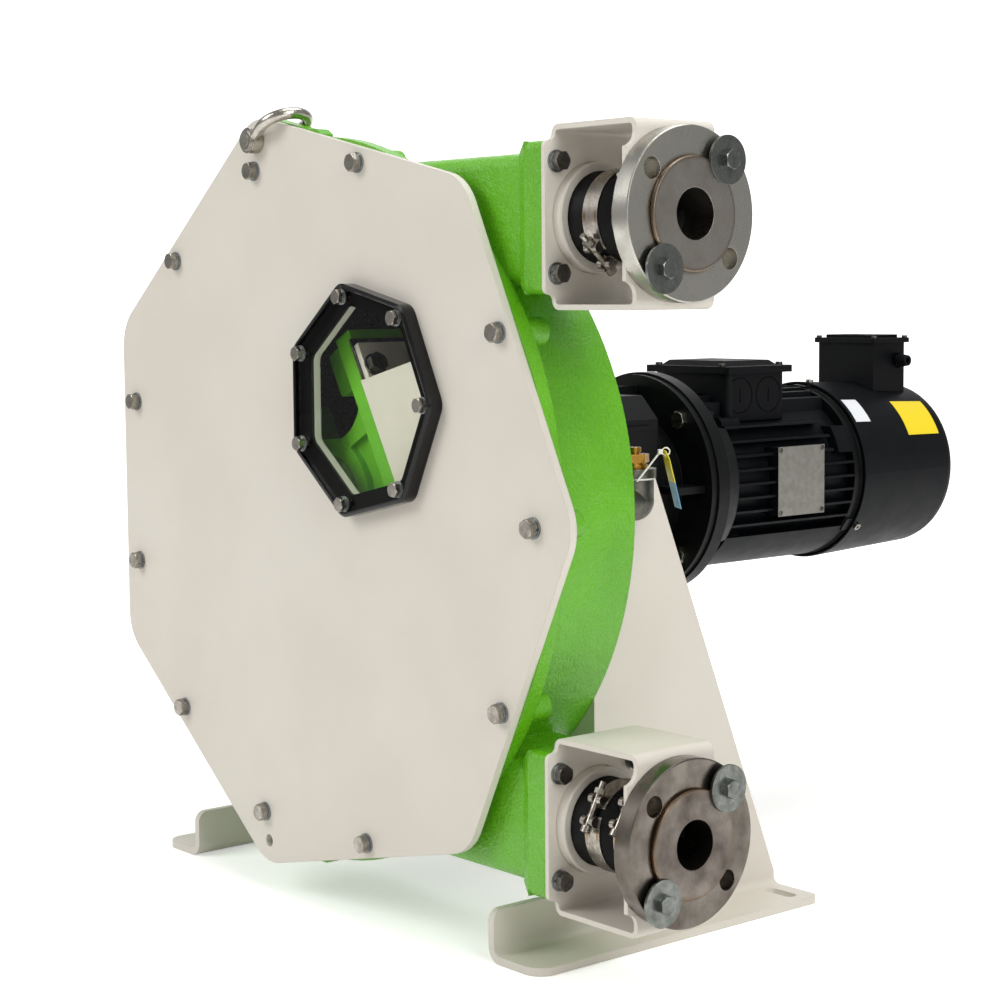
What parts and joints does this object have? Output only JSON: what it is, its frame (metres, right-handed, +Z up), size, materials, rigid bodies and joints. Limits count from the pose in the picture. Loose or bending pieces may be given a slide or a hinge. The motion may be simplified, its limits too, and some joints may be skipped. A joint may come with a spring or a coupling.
{
  "type": "peristaltic hose pump",
  "caption": "Rotary hose pump: round cast head with heptagonal cover and window, two flanged side ports, finned gear motor behind, on two sheet-metal feet.",
  "frame": {"origin": "centre of the four foot slots, on the floor under the feet", "axes": "+X from the shaft towards the two ports, +Y from the cover back to the motor, +Z up"},
  "size_m": [0.8497, 0.9262, 0.8179],
  "materials": {
    "green_paint": "semi-gloss paint over a rough casting",
    "cream_paint": "satin powder coat",
    "black_rubber": "smooth matt rubber",
    "clear_pane": "clear plastic pane",
    "zinc_steel": "plain steel",
    "stainless": "turned stainless steel",
    "dark_steel": "dark steel",
    "black_paint": "gloss black paint on a casting",
    "black_aluminium": "satin black paint",
    "black_plastic": "matt black plastic",
    "plate_metal": "bare brushed plate",
    "label_stock": "blank label film",
    "malleable_iron": "galvanised casting",
    "yellow_brass": "machined brass"
  },
  "bodies": {
    "pump": {"casing": "green_paint", "cover_plate": "cream_paint", "cover_seal": "black_rubber", "cover_bolts": "zinc_steel", "flat_washers": "zinc_steel", "window_rim": "black_rubber", "window_gasket": "black_rubber", "window_pane": "clear_pane", "window_bolts": "stainless", "spring_washers": "zinc_steel", "hose": "black_rubber", "port_bracket_top": "cream_paint", "port_bracket_bottom": "cream_paint", "bracket_bolts": "dark_steel", "hose_collar_top": "cream_paint", "hose_collar_bottom": "cream_paint", "hose_clamps_top": "stainless", "hose_clamps_bottom": "stainless", "clamp_bolts": "stainless", "insert_top": "stainless", "insert_bottom": "stainless", "port_flange_top": "stainless", "port_flange_bottom": "stainless", "flange_bolts": "zinc_steel", "flange_washers": "zinc_steel", "flange_nuts": "zinc_steel", "support_right": "cream_paint", "support_left": "cream_paint", "support_bolts": "zinc_steel", "gear_housing": "black_paint", "gear_bolts": "zinc_steel", "motor_flange_bolts": "zinc_steel", "motor_front_shield": "black_paint", "motor_frame": "black_aluminium", "motor_rear_shield": "black_paint", "fan_cowl": "black_aluminium", "cowl_screws": "zinc_steel", "fan_motor": "black_aluminium", "terminal_box": "black_aluminium", "terminal_lid": "black_aluminium", "lid_screws": "dark_steel", "fan_box": "black_plastic", "fan_box_lid": "black_plastic", "cable_gland": "black_plastic", "nameplate": "plate_metal", "blank_labels": "label_stock", "fill_elbow": "malleable_iron", "fill_plug": "yellow_brass", "hang_tag": "label_stock"},
    "rotor": {"output_shaft": "dark_steel", "rotor_hub": "green_paint", "press_shoe_a": "cream_paint", "press_shoe_b": "cream_paint", "shoe_shims": "cream_paint", "shoe_bolts": "dark_steel", "rotor_retainer": "zinc_steel"},
    "motor_armature": {"motor_rotor": "dark_steel"},
    "cooling_impeller": {"cooling_fan": "black_plastic"},
    "lifting_shackle": {"shackle_bow": "stainless", "shackle_pin": "stainless"}
  },
  "joints": [
    {"name": "rotor_spin", "type": "hinge", "parent": "pump", "child": "rotor", "pos_m": [0, -0.2408, 0.421], "axis": [0, 1, 0], "continuous": true, "deforming": ["hose"]},
    {"name": "motor_spin", "type": "hinge", "parent": "pump", "child": "motor_armature", "pos_m": [0, 0.305, 0.411], "axis": [0, 1, 0], "continuous": true},
    {"name": "fan_spin", "type": "hinge", "parent": "pump", "child": "cooling_impeller", "pos_m": [0, 0.498, 0.411], "axis": [0, 1, 0], "continuous": true},
    {"name": "shackle_swing", "type": "hinge", "parent": "pump", "child": "lifting_shackle", "pos_m": [-0.08345, -0.3035, 0.7866], "axis": [0, -1, 0], "range_deg": [0, 155]}
  ],
  "couplings": [
    {"joint": "motor_spin", "follows": "rotor_spin", "ratio": 30}
  ]
}
